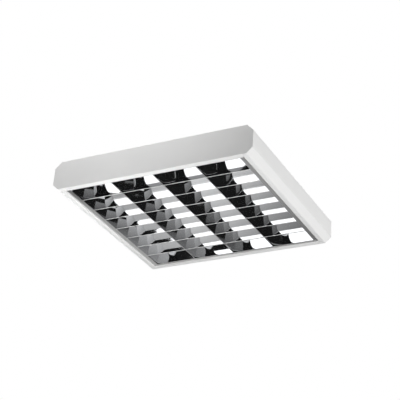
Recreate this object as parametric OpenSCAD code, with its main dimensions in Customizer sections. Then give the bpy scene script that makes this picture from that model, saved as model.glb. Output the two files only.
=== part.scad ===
// Surface mounted ceiling light with four straight lamps behind a hinged mirror louvre.
// Origin: centre of the face that lies on the ceiling. X runs across the lamps, Y along them.

/* [Body] */
// Width of the body across the lamps
body_w = 686; // [650:1:720]
// Height of the body below the ceiling
body_h = 97; // [94:1:130]
// Thickness of the steel sheet
sheet_t = 0.8; // [0.6:0.1:1.2]
// Outer radius of the folds in the steel sheet
bend_r = 1.6; // [1.3:0.1:3]
// Width of the sloping strip at the bottom of each side
low_slope_w = 19; // [10:0.5:24]
// Height of the sloping strip at the bottom of each side
low_slope_h = 18.5; // [14:0.5:26]
// Width of the sloping strip at the top of each side
top_slope_w = 21.5; // [12:0.5:30]
// Height of the sloping strip at the top of each side
top_slope_h = 21.5; // [14:0.5:28]
// Width of the flat lip along each side of the light opening
side_lip_w = 16.5; // [15:0.5:26]
// Width of the flat lip across each end of the light opening
end_lip_w = 20; // [16:0.5:24]
// Height of the edge that turns up round the light opening
lip_edge_h = 5; // [4:0.5:6]

/* [Fixing] */
// Spacing of the ceiling slots across the lamps
fixing_x = 290; // [250:1:310]
// Spacing of the ceiling slots along the lamps
fixing_y = 400; // [300:1:440]
// Length of each ceiling slot
fixing_slot_l = 14; // [10:1:20]
// Radius of the rounded ends of each ceiling slot
fixing_slot_r = 3; // [2.5:0.1:4]
// Radius of the cable hole through the bush
cable_r = 6; // [4:0.5:8]

/* [Lamps] */
// Length of a lamp between the ends of its caps
lamp_l = 590; // [588:0.5:592]
// Diameter of a lamp
lamp_d = 26; // [24:0.5:28]
// Distance from the ceiling down to the middle of a lamp
lamp_drop = 34.5; // [33.5:0.5:50]
// Wall of the lamp glass
glass_t = 0.8; // [0.6:0.1:1.2]
// Length of a lamp cap
cap_l = 12; // [10:0.5:16]
// Spacing of the two pins of a cap
pin_pitch = 12.7; // [12:0.1:13]
// Diameter of a lamp pin
pin_d = 2.4; // [2:0.1:2.6]
// Length of a lamp pin
pin_l = 7; // [6:0.1:7.5]
// Thickness of a lampholder along the lamp
holder_t = 11.5; // [10.5:0.5:14]
// Radius of the round end of a lampholder
holder_r = 13.5; // [13:0.5:15]

/* [Louvre] */
// Height that the louvre sits above the underside of the body
louvre_recess = 4; // [2:0.5:5]
// Gap between the louvre and the edge of the light opening
louvre_gap = 1.5; // [1.4:0.1:2.5]
// Thickness of the reflector sheet
mirror_t = 0.5; // [0.4:0.05:0.8]
// Width of the flat strip along each side of the louvre
flange_w = 14; // [11:0.5:18]
// Width of the flat strip along each end of the louvre
end_strip_w = 5; // [3:0.5:8]
// Width of a cross blade at its top
blade_w = 21; // [14:1:26]
// Height of the long dividers above the cross blades
divider_rise = 6; // [4:0.5:7]
// Width of a long divider at its top
divider_w = 28; // [22:1:40]
// Distance that the top of an end reflector leans in over the end row of cells
end_mirror_w = 7; // [5:0.5:11]
// Number of cell rows along the lamps
rows = 8; // [6:1:9]

/* [Control gear] */
// Width of a ballast
ballast_w = 41; // [36:1:46]
// Height of a ballast
ballast_h = 28; // [24:1:30]
// Diameter of a starter
starter_d = 21.5; // [20:0.5:22]
// Length of a starter
starter_l = 36; // [30:1:42]
// Diameter of the capacitor
capacitor_d = 25; // [20:1:28]
// Length of the capacitor
capacitor_l = 62; // [50:1:70]

/* [Hidden] */
$fn = 48;

// Clearances and overruns
cut = 1;
seat_gap = 0.2;
spin_gap = 0.05;
plate_gap = 1.5;
lamp_end_gap = 0.4;
lamp_over_blade = 2;

// Sheet metal steps in a fold and in a mirror curve
bend_steps = 4;
curve_steps = 10;
flare_power = 1.4;

// Screws
screw_r = 1.5;
screw_head_r = 3;
screw_head_h = 1.8;

// Inside the ends
rail_t = 0.8;
rail_flange_w = 12;
tab_depth = 10;
end_room = lamp_end_gap + holder_t + rail_t + plate_gap + sheet_t;
body_l = lamp_l + 2 * end_room;
inner_l = body_l - 2 * sheet_t;
holder_back_y = lamp_l / 2 + lamp_end_gap + holder_t;
tab_top_z = -sheet_t - seat_gap;
rail_top_z = tab_top_z - sheet_t - seat_gap;
end_screw_y = inner_l / 2 - tab_depth * 3 / 4;
end_screw_x = body_w / 4;
roof_half_w = body_w / 2 - top_slope_w;
lip_x = body_w / 2 - low_slope_w - side_lip_w;
lip_y = body_l / 2 - end_lip_w;

// Louvre frame
louvre_z = -body_h + louvre_recess;
louvre_hw = lip_x - louvre_gap;
louvre_hl = lip_y - louvre_gap;
side_x = louvre_hw - flange_w;
cell_hl = louvre_hl - end_strip_w;
divider_pitch = side_x / 2;
row_pitch = 2 * cell_hl / rows;
fold_r = 2 * mirror_t;
hem_h = louvre_recess;
tongue_z = 3 * fold_r;
tongue_out = 3;

// Lamps stand over the middle of each column of cells, and the blades reach up to just below them
lamp_z = -lamp_drop;
blade_h = lamp_z - lamp_d / 2 - lamp_over_blade - louvre_z;
divider_h = blade_h + divider_rise;
outer_lamp_x = (divider_pitch + side_x) / 2;
lamp_xs = [-outer_lamp_x, -divider_pitch / 2, divider_pitch / 2, outer_lamp_x];

// Lampholders, rotors and starters
rotor_r = pin_pitch / 2 + pin_d;
rotor_t = pin_l + 1.5 * sheet_t;
pin_slot_w = pin_d + 2 * seat_gap;
stem_w = 20;
holder_top_z = rail_top_z - rail_t - seat_gap;
starter_side = 31;
starter_up = 12;
socket_r = starter_d / 2 + 2.5 * sheet_t;
starter_z = lamp_z + starter_up;
starter_pin_r = 2;
starter_pin_l = 6;
starter_pins = 12.7;
socket_web_h = 14;
groove_gap = 0.5;

// Gear channel over the middle divider
channel_top_w = 84;
channel_low_w = 66;
channel_d = 37;
channel_end_room = 55;
channel_l = lamp_l - 2 * channel_end_room;
channel_flange_w = 12;
foot_l = 12;
foot_room = 3;
foot_t = 1.2;
bush_y = 45;
bush_h = 6;
bush_wall = 2;
bush_flange = 3;
bush_head_h = 2;
terminal_w = 40;
terminal_l = 16;
terminal_h = 18;
terminal_poles = 5;
terminal_y = 20;
capacitor_y = -28;
gear_gap = 4;
middle_hl = capacitor_l / 2 - capacitor_y + gear_gap;
ballast_l = channel_l / 2 - foot_room - 2 * foot_l - middle_hl;
ballast_y = middle_hl + foot_l + ballast_l / 2;
clip_t = 1;
clip_w = 10;

// Hinge and catch
hinge_inset = 8;
hinge_rise = 8;
hinge_x = -louvre_hw + hinge_inset;
hinge_z = -body_h + hinge_rise;
hinge_pin_r = 1.5;
hinge_head_r = 2.6;
hinge_head_l = 1.2;
bracket_t = 1.5;
bracket_w = 10;
bracket_foot_l = 8;
bracket_h = 12;
tab_t = 0.8;
tab_h = 10;
bracket_y = lip_y + bend_r;
pin_end_y = bracket_y + bracket_t + seat_gap;
catch_w = 12;
catch_t = 0.5;
catch_rise = 14;

// Reverses a list of points
function back(p) = [for (i = [len(p) - 1:-1:0]) p[i]];
function unit(v) = v / norm(v);
// Left hand normal of the step from a to b
function left(a, b) = let (d = unit(b - a)) [-d[1], d[0]];
// Points of a fold of radius r at corner b of the path a, b, c
function fold(a, b, c, r) =
    let (u = unit(a - b), v = unit(c - b), half = acos(u * v) / 2, m = b + unit(u + v) * r / sin(half),
        s = b + u * r / tan(half) - m, e = b + v * r / tan(half) - m,
        a0 = atan2(s[1], s[0]), turn = atan2(s[0] * e[1] - s[1] * e[0], s * e))
    [for (i = [0:bend_steps]) m + r * [cos(a0 + turn * i / bend_steps), sin(a0 + turn * i / bend_steps)]];
// A path with every inner corner folded
function folded(p, r) = concat([p[0]],
    [for (i = [1:len(p) - 2]) each fold(p[i - 1], p[i], p[i + 1], r)], [p[len(p) - 1]]);
// A closed outline with every corner folded
function folded_loop(p, r) = [for (i = [0:len(p) - 1])
    each fold(p[(i + len(p) - 1) % len(p)], p[i], p[(i + 1) % len(p)], r)];
// A path moved sideways by d to its left
function shifted(p, d) = [for (i = [0:len(p) - 1])
    let (n0 = i > 0 ? left(p[i - 1], p[i]) : left(p[0], p[1]),
        n1 = i < len(p) - 1 ? left(p[i], p[i + 1]) : n0, m = unit(n0 + n1))
    p[i] + m * d / (m * n0)];
// A strip of sheet whose one face follows path p, thickness t to its left
function strip(p, t) = concat(p, back(shifted(p, t)));
// The same path mirrored in the upright axis and joined to itself
function both(p) = concat([for (q = back(p)) [-q[0], q[1]]], p);

// Place of cross blade k along the lamps
function row_y(k) = k * row_pitch - cell_hl;
// Half width of a mirror vane at height z, of top width w and height h
function vane(z, w, h) = fold_r + (w / 2 - fold_r) * pow(z / h, flare_power);
// One side of a vane from the tip of its bottom fold to its top
function vane_side(w, h, gap) = concat(
    [for (i = [0:bend_steps]) let (a = 90 * i / bend_steps)
        [(fold_r + gap) * sin(a), fold_r - (fold_r + gap) * cos(a)]],
    [for (i = [1:curve_steps]) let (z = fold_r + (h - fold_r) * i / curve_steps)
        [vane(z, w, h) + gap, z]]);
// The hollow inside a vane
function vane_hollow(w, h) = [for (i = [0:curve_steps])
    let (z = 2 * fold_r + (h - 2 * fold_r) * i / curve_steps) [vane(z, w, h) - mirror_t, z]];

// Outline of a solid vane, used for the slots that take it
module vane_slot(w, h) {
    side = vane_side(w, h, seat_gap);
    polygon(concat([[0, -cut]], [[fold_r + seat_gap, -cut]], [for (i = [bend_steps:len(side) - 1]) side[i]],
        [[vane(h, w, h) + seat_gap, h + seat_gap], [-vane(h, w, h) - seat_gap, h + seat_gap]],
        [for (i = [len(side) - 1:-1:bend_steps]) [-side[i][0], side[i][1]]], [[-fold_r - seat_gap, -cut]]));
}

// Outline of a folded vane, open at the top
module vane_sheet(w, h) {
    side = vane_side(w, h, 0);
    hollow = vane_hollow(w, h);
    polygon(concat(side, back(hollow), [for (q = hollow) [-q[0], q[1]]],
        [for (i = [len(side) - 1:-1:1]) [-side[i][0], side[i][1]]]));
}

// Sweeps a drawing in X and Z along Y, centred
module along_y(l) {
    rotate([90, 0, 0]) linear_extrude(l, center = true) children();
}

// Sweeps a drawing in Y and Z along X, centred
module along_x(l) {
    rotate([90, 0, 90]) linear_extrude(l, center = true) children();
}

// A round bar along Y from y0 to y1
module bar_y(x, z, r, y0, y1) {
    translate([x, y1, z]) rotate([90, 0, 0]) cylinder(r = r, h = y1 - y0);
}

// A block between two corners
module block(a, b) {
    translate(a) cube(b - a);
}

// Repeats its child at the far end, turned about
module far_end() {
    mirror([0, 1, 0]) children();
}

// Corners of the outer face of the body, from one side of the light opening round to the other
body_path = both(back([[lip_x, -body_h + lip_edge_h], [lip_x, -body_h],
    [lip_x + side_lip_w, -body_h], [body_w / 2, -body_h + low_slope_h],
    [body_w / 2, -top_slope_h], [roof_half_w, 0]]));

module housing_tray() {
    color("white") difference() {
        along_y(inner_l) polygon(strip(folded(back(body_path), bend_r), sheet_t));
        for (x = [-fixing_x / 2, fixing_x / 2], y = [-fixing_y / 2, fixing_y / 2])
            translate([x, y, -sheet_t - cut]) slot_hole(fixing_slot_l, fixing_slot_r, sheet_t + 2 * cut);
        translate([0, bush_y, -sheet_t - cut])
            cylinder(r = cable_r + bush_wall + spin_gap, h = sheet_t + 2 * cut);
        for (p = roof_screws)
            translate([p[0], p[1], -sheet_t - cut]) cylinder(r = screw_r + spin_gap, h = sheet_t + 2 * cut);
    }
}

// A slot of length l along X with round ends
module slot_hole(l, r, h) {
    for (s = [-1, 1]) translate([s * (l / 2 - r), 0, 0]) cylinder(r = r, h = h);
    translate([-(l / 2 - r), -r, 0]) cube([l - 2 * r, 2 * r, h]);
}

// Places of the screws that thread into the roof
end_screws = [for (x = [-end_screw_x, end_screw_x], y = [-end_screw_y, end_screw_y]) [x, y]];
cover_screw_x = channel_top_w / 2 + channel_flange_w / 2;
cover_screw_y = channel_l / 3;
cover_screws = [for (x = [-cover_screw_x, cover_screw_x], y = [-cover_screw_y, cover_screw_y]) [x, y]];
foot_x = ballast_w / 4;
gear_ys = [-ballast_y, ballast_y];
foot_off_y = ballast_l / 2 + foot_l / 2;
foot_screws = [for (y = gear_ys, s = [-1, 1]) [s * foot_x, y + s * foot_off_y]];
roof_screws = concat(end_screws, cover_screws, foot_screws);

// A pan head screw that passes up through plates of total thickness grip and stops in the roof
module roof_screw(p, grip) {
    translate([p[0], p[1], -sheet_t - grip])
        cylinder(r = screw_r, h = sheet_t + grip - seat_gap);
    translate([p[0], p[1], -sheet_t - grip - screw_head_h])
        cylinder(r1 = screw_head_r * 2 / 3, r2 = screw_head_r, h = screw_head_h);
}

module end_plate() {
    tab_w = 2 * (roof_half_w - bend_r) - 2 * tab_depth;
    side_low = -body_h + low_slope_h + bend_r;
    side_top = -top_slope_h - bend_r;
    color("white") difference() {
        union() {
            translate([0, -body_l / 2 + sheet_t / 2, 0]) along_y(sheet_t)
                polygon(folded_loop([for (i = [2:len(body_path) - 3]) body_path[i]], bend_r));
            translate([0, -body_l / 2, 0]) along_x(2 * (lip_x - seat_gap)) polygon(strip(
                folded([[sheet_t / 2, -body_h], [end_lip_w, -body_h], [end_lip_w, -body_h + lip_edge_h]],
                    bend_r), sheet_t));
            block([-tab_w / 2, -body_l / 2, tab_top_z - sheet_t], [tab_w / 2, -inner_l / 2 + tab_depth, tab_top_z]);
            for (s = [-1, 1]) translate([s * (body_w / 2 - 1.5 * sheet_t - seat_gap), 0, 0])
                block([-sheet_t / 2, -body_l / 2, side_low],
                    [sheet_t / 2, -inner_l / 2 + tab_depth, side_top]);
        }
        for (p = end_screws) translate([p[0], p[1], tab_top_z - sheet_t - cut])
            cylinder(r = screw_r + spin_gap, h = sheet_t + 2 * cut);
    }
}

module end_plate_near() { end_plate(); }
module end_plate_far() { far_end() end_plate(); }

module end_plate_screws() {
    grip = 2 * seat_gap + sheet_t + rail_t;
    color("silver") for (p = end_screws) roof_screw(p, grip);
}

// Strip that carries the four lampholders of one end
module holder_rail() {
    rail_hw = outer_lamp_x + starter_side + holder_r;
    color("white") difference() {
        translate([0, -holder_back_y, 0]) along_x(2 * rail_hw) polygon(
            [[-rail_t, lamp_z - holder_r / 2], [0, lamp_z - holder_r / 2], [0, rail_top_z - rail_t],
            [rail_flange_w, rail_top_z - rail_t], [rail_flange_w, rail_top_z], [-rail_t, rail_top_z]]);
        for (p = end_screws) translate([p[0], p[1], rail_top_z - rail_t - cut])
            cylinder(r = screw_r + spin_gap, h = rail_t + 2 * cut);
    }
}

module holder_rail_near() { holder_rail(); }
module holder_rail_far() { far_end() holder_rail(); }

// Lampholder for the near end; side says where its starter socket lies, 0 for none
module lampholder(x, side) {
    face_y = -lamp_l / 2 - lamp_end_gap;
    sx = x + side * starter_side;
    color("white") difference() {
        union() {
            bar_y(x, lamp_z, holder_r, -holder_back_y, face_y);
            block([x - stem_w / 2, -holder_back_y, lamp_z], [x + stem_w / 2, face_y, holder_top_z]);
            if (side != 0) {
                bar_y(sx, starter_z, socket_r, -holder_back_y, face_y);
                block([min(x, sx), -holder_back_y, starter_z - socket_web_h / 2],
                    [max(x, sx), face_y, starter_z + socket_web_h / 2]);
            }
        }
        bar_y(x, lamp_z, rotor_r + spin_gap, face_y - rotor_t - seat_gap, face_y + cut);
        block([x - pin_slot_w / 2, face_y - pin_l - seat_gap, lamp_z - holder_r - cut],
            [x + pin_slot_w / 2, face_y + cut, lamp_z]);
        if (side != 0) difference() {
            bar_y(sx, starter_z, starter_pins / 2 + starter_pin_r + groove_gap,
                face_y - starter_pin_l - groove_gap, face_y + cut);
            bar_y(sx, starter_z, starter_pins / 2 - starter_pin_r - groove_gap,
                face_y - starter_pin_l - cut, face_y + 2 * cut);
        }
    }
}

// The starters of the two inner lamps lie on the outer side too, clear of the gear channel
starter_sides = [-1, -1, 1, 1];
module lampholder_near(i) { lampholder(lamp_xs[i], starter_sides[i]); }
module lampholder_far(i) { far_end() lampholder(lamp_xs[i], 0); }

// Slotted rotors that hold the pins of one lamp at both ends
module rotors(i) {
    face_y = lamp_l / 2 + lamp_end_gap;
    color("gainsboro") for (s = [-1, 1]) difference() {
        bar_y(lamp_xs[i], lamp_z, rotor_r, min(s * face_y, s * (face_y + rotor_t)),
            max(s * face_y, s * (face_y + rotor_t)));
        translate([lamp_xs[i], s * face_y, lamp_z])
            cube([2 * (rotor_r + cut), 2 * (pin_l + seat_gap - lamp_end_gap), pin_slot_w], center = true);
    }
}

module lamp_tube(i) {
    tube_r = lamp_d / 2 - 2 * seat_gap;
    tube_hl = lamp_l / 2 - 2 * glass_t;
    color("ivory") difference() {
        bar_y(lamp_xs[i], lamp_z, tube_r, -tube_hl, tube_hl);
        bar_y(lamp_xs[i], lamp_z, tube_r - glass_t, -tube_hl - cut, tube_hl + cut);
    }
}

// The two metal caps of a lamp, each with its pair of pins
module lamp_caps(i) {
    color("silver") for (s = [0, 1]) mirror([0, s, 0]) translate([lamp_xs[i], 0, lamp_z]) {
        difference() {
            bar_y(0, 0, lamp_d / 2, -lamp_l / 2, -lamp_l / 2 + cap_l);
            bar_y(0, 0, lamp_d / 2 - 2 * seat_gap + spin_gap / 2, -lamp_l / 2 + glass_t, -lamp_l / 2 + cap_l + cut);
        }
        for (p = [-pin_pitch / 2, pin_pitch / 2]) bar_y(p, 0, pin_d / 2, -lamp_l / 2 - pin_l, -lamp_l / 2 + glass_t / 2);
    }
}

module starter(i) {
    sx = lamp_xs[i] + starter_sides[i] * starter_side;
    face_y = -lamp_l / 2 - lamp_end_gap + seat_gap;
    grip_l = starter_l / 4;
    grip_w = starter_d / 6;
    color("white") {
        bar_y(sx, starter_z, starter_d / 2, face_y, face_y + starter_l - grip_l);
        translate([sx, face_y + starter_l - grip_l, starter_z]) rotate([-90, 0, 0])
            cylinder(r1 = starter_d / 2, r2 = starter_d / 2 - grip_w, h = grip_l);
        for (p = [-starter_pins / 2, starter_pins / 2])
            bar_y(sx + p, starter_z, starter_pin_r, face_y - starter_pin_l, face_y + grip_w);
    }
}

// Folded channel that hides the control gear between the two inner lamps
module gear_cover() {
    top_z = -sheet_t - seat_gap;
    path = both([[channel_low_w / 2, -channel_d], [channel_top_w / 2, top_z - sheet_t],
        [channel_top_w / 2 + channel_flange_w, top_z - sheet_t]]);
    color("white") difference() {
        along_y(channel_l) polygon(strip(folded(path, bend_r), sheet_t));
        for (p = cover_screws) translate([p[0], p[1], top_z - sheet_t - cut])
            cylinder(r = screw_r + spin_gap, h = sheet_t + 2 * cut);
    }
}

module gear_cover_screws() {
    color("silver") for (p = cover_screws) roof_screw(p, seat_gap + sheet_t);
}

// Ballast with a stepped iron core, a wound middle and two fixing feet
module ballast(y) {
    top_z = -sheet_t - seat_gap;
    edge = ballast_w / 8;
    color("gainsboro") translate([0, y, 0]) difference() {
        union() {
            along_y(ballast_l) polygon([[-ballast_w / 2, top_z], [-ballast_w / 2, top_z - ballast_h + edge],
                [-ballast_w / 2 + edge, top_z - ballast_h], [ballast_w / 2 - edge, top_z - ballast_h],
                [ballast_w / 2, top_z - ballast_h + edge], [ballast_w / 2, top_z]]);
            block([-ballast_w / 2, -ballast_l / 2 - foot_l, top_z - foot_t],
                [ballast_w / 2, ballast_l / 2 + foot_l, top_z]);
        }
        for (s = [-1, 1]) translate([s * foot_x, s * foot_off_y, top_z - foot_t - cut])
            cylinder(r = screw_r + spin_gap, h = foot_t + 2 * cut);
    }
}

module ballast_near() { ballast(-ballast_y); }
module ballast_far() { ballast(ballast_y); }

module ballast_screws() {
    color("silver") for (p = foot_screws) roof_screw(p, seat_gap + foot_t);
}

capacitor_z = -sheet_t - seat_gap - clip_t - seat_gap - capacitor_d / 2;

// Capacitor can with a stepped sealing disc and two contact tags
module capacitor() {
    disc_l = 2 * clip_t;
    tag_w = capacitor_d / 5;
    color("white") {
        bar_y(0, capacitor_z, capacitor_d / 2, capacitor_y - capacitor_l / 2, capacitor_y + capacitor_l / 2);
        bar_y(0, capacitor_z, capacitor_d / 2 - clip_t, capacitor_y + capacitor_l / 2,
            capacitor_y + capacitor_l / 2 + disc_l);
        for (s = [-1, 1]) block([s * tag_w - tag_w / 4, capacitor_y + capacitor_l / 2, capacitor_z - tag_w / 2],
            [s * tag_w + tag_w / 4, capacitor_y + capacitor_l / 2 + 2 * disc_l, capacitor_z + tag_w / 2]);
    }
}

// Spring band round the capacitor with a flat foot on the roof
module capacitor_clip() {
    band_r = capacitor_d / 2 + spin_gap;
    foot_w = capacitor_d;
    color("silver") difference() {
        union() {
            bar_y(0, capacitor_z, band_r + clip_t, capacitor_y - clip_w / 2, capacitor_y + clip_w / 2);
            block([-foot_w / 2, capacitor_y - clip_w / 2, -sheet_t - seat_gap - clip_t],
                [foot_w / 2, capacitor_y + clip_w / 2, -sheet_t - seat_gap]);
        }
        bar_y(0, capacitor_z, band_r, capacitor_y - clip_w, capacitor_y + clip_w);
    }
}

// Terminal block with a wire hole and a screw well at each pole
module terminal_block() {
    pole_pitch = terminal_w / terminal_poles;
    wire_r = pole_pitch / 4;
    top_z = -sheet_t - seat_gap;
    color("white") difference() {
        block([-terminal_w / 2, terminal_y - terminal_l / 2, top_z - terminal_h],
            [terminal_w / 2, terminal_y + terminal_l / 2, top_z]);
        for (i = [0:terminal_poles - 1]) translate([-terminal_w / 2 + (i + 0.5) * pole_pitch, 0, 0]) {
            bar_y(0, top_z - terminal_h / 2, wire_r, terminal_y - terminal_l, terminal_y + terminal_l);
            translate([0, terminal_y, top_z - terminal_h - cut]) cylinder(r = wire_r, h = terminal_h / 2);
        }
    }
}

module cable_bush() {
    color("dimgray") translate([0, bush_y, 0]) difference() {
        union() {
            translate([0, 0, -bush_h]) cylinder(r = cable_r + bush_wall, h = bush_h - seat_gap);
            translate([0, 0, -sheet_t - seat_gap - bush_head_h])
                cylinder(r = cable_r + bush_wall + bush_flange, h = bush_head_h);
        }
        translate([0, 0, -bush_h - cut]) cylinder(r = cable_r, h = bush_h + 2 * cut);
    }
}

// Angle on the end lip with the bore for a hinge pin
module hinge_bracket() {
    floor_z = -body_h + sheet_t + seat_gap;
    color("silver") difference() {
        union() {
            block([hinge_x - bracket_w / 2, -bracket_y - bracket_t, floor_z],
                [hinge_x + bracket_w / 2, -bracket_y, floor_z + bracket_h]);
            block([hinge_x - bracket_w / 2, -bracket_y - bracket_foot_l, floor_z],
                [hinge_x + bracket_w / 2, -bracket_y, floor_z + bracket_t]);
        }
        bar_y(hinge_x, hinge_z, hinge_pin_r + spin_gap, -bracket_y - bracket_foot_l - cut, -bracket_y + cut);
    }
}

module hinge_bracket_near() { hinge_bracket(); }
module hinge_bracket_far() { far_end() hinge_bracket(); }

// Headed pins through the louvre's end tabs into the brackets
module hinge_pins() {
    color("silver") for (s = [0, 1]) mirror([0, s, 0]) {
        bar_y(hinge_x, hinge_z, hinge_pin_r, -pin_end_y, -louvre_hl + tab_t);
        bar_y(hinge_x, hinge_z, hinge_head_r, -louvre_hl + tab_t, -louvre_hl + tab_t + hinge_head_l);
    }
}

// Leaf spring on the end lip that bears on the louvre's end tab
module catch_spring() {
    floor_z = -body_h + sheet_t + seat_gap;
    nose_z = -body_h + hinge_rise;
    nose_y = louvre_hl + seat_gap;
    color("silver") translate([-hinge_x, 0, 0]) along_x(catch_w) polygon(strip(folded(
        [[-bracket_y - bracket_foot_l, floor_z], [-bracket_y - catch_t, floor_z],
        [-bracket_y - catch_t, nose_z - catch_t], [-nose_y - catch_t, nose_z + catch_t],
        [-bracket_y - catch_t, floor_z + catch_rise]], catch_t + seat_gap), catch_t));
}

module catch_spring_near() { catch_spring(); }
module catch_spring_far() { far_end() catch_spring(); }

// Mirror face of the right hand side reflector from its bottom to its top, moved out by d
function side_face(d) = [for (i = [0:curve_steps]) let (z = divider_h * i / curve_steps)
    [side_x + d - (divider_w / 2 - fold_r) * pow(z / divider_h, flare_power), z]];

// Space between the two side reflectors, widened by d on each side, from height z0 up
module between_sides(d, z0) {
    face = side_face(d);
    along_y(2 * louvre_hl + cut) intersection() {
        polygon(concat(face, back([for (q = face) [-q[0], q[1]]])));
        translate([-body_w, z0]) square([2 * body_w, divider_h]);
    }
}

// Right hand side reflector: parabolic mirror, flat strip, hem and an upright tab at each end
module side_reflector() {
    face = side_face(0);
    color("gray") translate([0, 0, louvre_z]) difference() {
        union() {
            along_y(2 * louvre_hl) polygon(strip(back(concat([[louvre_hw, hem_h], [louvre_hw, 0]], face)),
                mirror_t));
            for (s = [-1, 1]) translate([0, s * (louvre_hl - tab_t / 2), 0]) along_y(tab_t) polygon(
                [[side_x + mirror_t / 2, mirror_t / 2], [louvre_hw - mirror_t / 2, mirror_t / 2],
                [louvre_hw - mirror_t / 2, hem_h], [louvre_hw - mirror_t, tab_h], [side_x + mirror_t / 2, tab_h]]);
        }
        for (k = [1:rows - 1]) translate([side_x, row_y(k), 0]) intersection() {
            along_x(divider_w) vane_slot(blade_w, blade_h);
            translate([-divider_w, -blade_w, tongue_z - seat_gap]) cube([2 * divider_w, 2 * blade_w, divider_h]);
        }
        bar_y(-hinge_x, hinge_z - louvre_z, hinge_pin_r + spin_gap / 2, -louvre_hl - cut, louvre_hl + cut);
    }
}

module side_reflector_left() { mirror([1, 0, 0]) side_reflector(); }
module side_reflector_right() { side_reflector(); }

// Mirror face of the near end reflector from its bottom to its top
end_face = [for (i = [0:curve_steps]) let (z = blade_h * i / curve_steps)
    [-cell_hl + (end_mirror_w - fold_r) * pow(z / blade_h, flare_power), z]];

// Space between the two end reflectors, less a seat gap at each end
module between_ends() {
    face = concat([for (q = end_face) q + [seat_gap, 0]], [end_face[curve_steps] + [seat_gap, divider_h]]);
    along_x(2 * body_w) polygon(concat(face, back([for (q = face) [-q[0], q[1]]])));
}

// Half vane that closes the cells at one end, with a flat strip below it
module end_reflector() {
    color("gray") translate([0, 0, louvre_z]) intersection() {
        along_x(2 * louvre_hw) polygon(strip(concat([[-louvre_hl, 0]], end_face), mirror_t));
        between_sides(-seat_gap, 0);
    }
}

module end_reflector_near() { end_reflector(); }
module end_reflector_far() { far_end() end_reflector(); }

// Long divider: a folded vane with a slot for each cross blade
module divider(x) {
    color("gray") translate([x, 0, louvre_z]) difference() {
        intersection() {
            along_y(2 * louvre_hl) vane_sheet(divider_w, divider_h);
            between_ends();
        }
        for (k = [1:rows - 1]) translate([0, row_y(k), 0])
            along_x(2 * divider_w) vane_slot(blade_w, blade_h);
    }
}

module divider_1() { divider(-divider_pitch); }
module divider_2() { divider(0); }
module divider_3() { divider(divider_pitch); }

// Cross blade: a folded vane right across the louvre, with a tongue in each side reflector
module cross_blade(k) {
    color("lightgray") translate([0, row_y(k), louvre_z]) intersection() {
        along_x(2 * louvre_hw) vane_sheet(blade_w, blade_h);
        union() {
            between_sides(-seat_gap, -cut);
            between_sides(tongue_out, tongue_z);
        }
    }
}

housing_tray();
end_plate_near();
end_plate_far();
end_plate_screws();
holder_rail_near();
holder_rail_far();
lampholder_near(0);  // lampholder_near_1
lampholder_near(1);  // lampholder_near_2
lampholder_near(2);  // lampholder_near_3
lampholder_near(3);  // lampholder_near_4
lampholder_far(0);  // lampholder_far_1
lampholder_far(1);  // lampholder_far_2
lampholder_far(2);  // lampholder_far_3
lampholder_far(3);  // lampholder_far_4
rotors(0);  // rotors_1
rotors(1);  // rotors_2
rotors(2);  // rotors_3
rotors(3);  // rotors_4
lamp_tube(0);  // lamp_tube_1
lamp_tube(1);  // lamp_tube_2
lamp_tube(2);  // lamp_tube_3
lamp_tube(3);  // lamp_tube_4
lamp_caps(0);  // lamp_caps_1
lamp_caps(1);  // lamp_caps_2
lamp_caps(2);  // lamp_caps_3
lamp_caps(3);  // lamp_caps_4
starter(0);  // starter_1
starter(1);  // starter_2
starter(2);  // starter_3
starter(3);  // starter_4
gear_cover();
gear_cover_screws();
ballast_near();
ballast_far();
ballast_screws();
capacitor();
capacitor_clip();
terminal_block();
cable_bush();
hinge_bracket_near();
hinge_bracket_far();
hinge_pins();
catch_spring_near();
catch_spring_far();
side_reflector_left();
side_reflector_right();
end_reflector_near();
end_reflector_far();
divider_1();
divider_2();
divider_3();
cross_blade(1);  // cross_blade_1
cross_blade(2);  // cross_blade_2
cross_blade(3);  // cross_blade_3
cross_blade(4);  // cross_blade_4
cross_blade(5);  // cross_blade_5
cross_blade(6);  // cross_blade_6
cross_blade(7);  // cross_blade_7
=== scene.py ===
"""Flat ceiling light: a folded white tray with four straight lamps behind a hinged mirror louvre.
All lengths are in metres. X runs across the lamps, Y along them, and z is 0 on the ceiling."""

import math

import bpy
from mathutils import Matrix, Vector


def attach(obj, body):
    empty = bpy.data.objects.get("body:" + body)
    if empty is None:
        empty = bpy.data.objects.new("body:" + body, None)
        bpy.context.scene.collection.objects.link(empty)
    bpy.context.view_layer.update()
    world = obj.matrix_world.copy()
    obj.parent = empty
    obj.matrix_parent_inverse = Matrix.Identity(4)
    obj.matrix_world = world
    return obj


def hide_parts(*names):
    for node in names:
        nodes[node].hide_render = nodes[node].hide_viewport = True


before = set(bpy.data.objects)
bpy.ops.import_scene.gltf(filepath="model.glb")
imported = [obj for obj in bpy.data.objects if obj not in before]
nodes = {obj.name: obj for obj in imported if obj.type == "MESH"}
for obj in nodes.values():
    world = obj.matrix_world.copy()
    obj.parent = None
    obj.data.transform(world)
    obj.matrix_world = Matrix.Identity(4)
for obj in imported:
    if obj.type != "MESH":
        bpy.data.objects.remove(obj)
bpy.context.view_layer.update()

# Body
BODY_W = 0.686
BODY_L = 0.620
BODY_H = 0.097
SHEET = 0.0008
BEND_R = 0.0016
INNER_L = BODY_L - 2 * SHEET
LOW_SLOPE_H = 0.0185
TOP_SLOPE_H = 0.0215
LIP_X = 0.3075
LIP_Y = 0.290
LIP_EDGE_H = 0.005
SLOPE_X = 0.324
ROOF_X = 0.3215
BUSH_Y = 0.045
BUSH_R = 0.008
CEILING_SLOTS = [(x, y) for x in (-0.145, 0.145) for y in (-0.2, 0.2)]
SLOT_R = 0.003
SLOT_END = 0.004  # from a slot's middle to the centre of its round end

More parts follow.
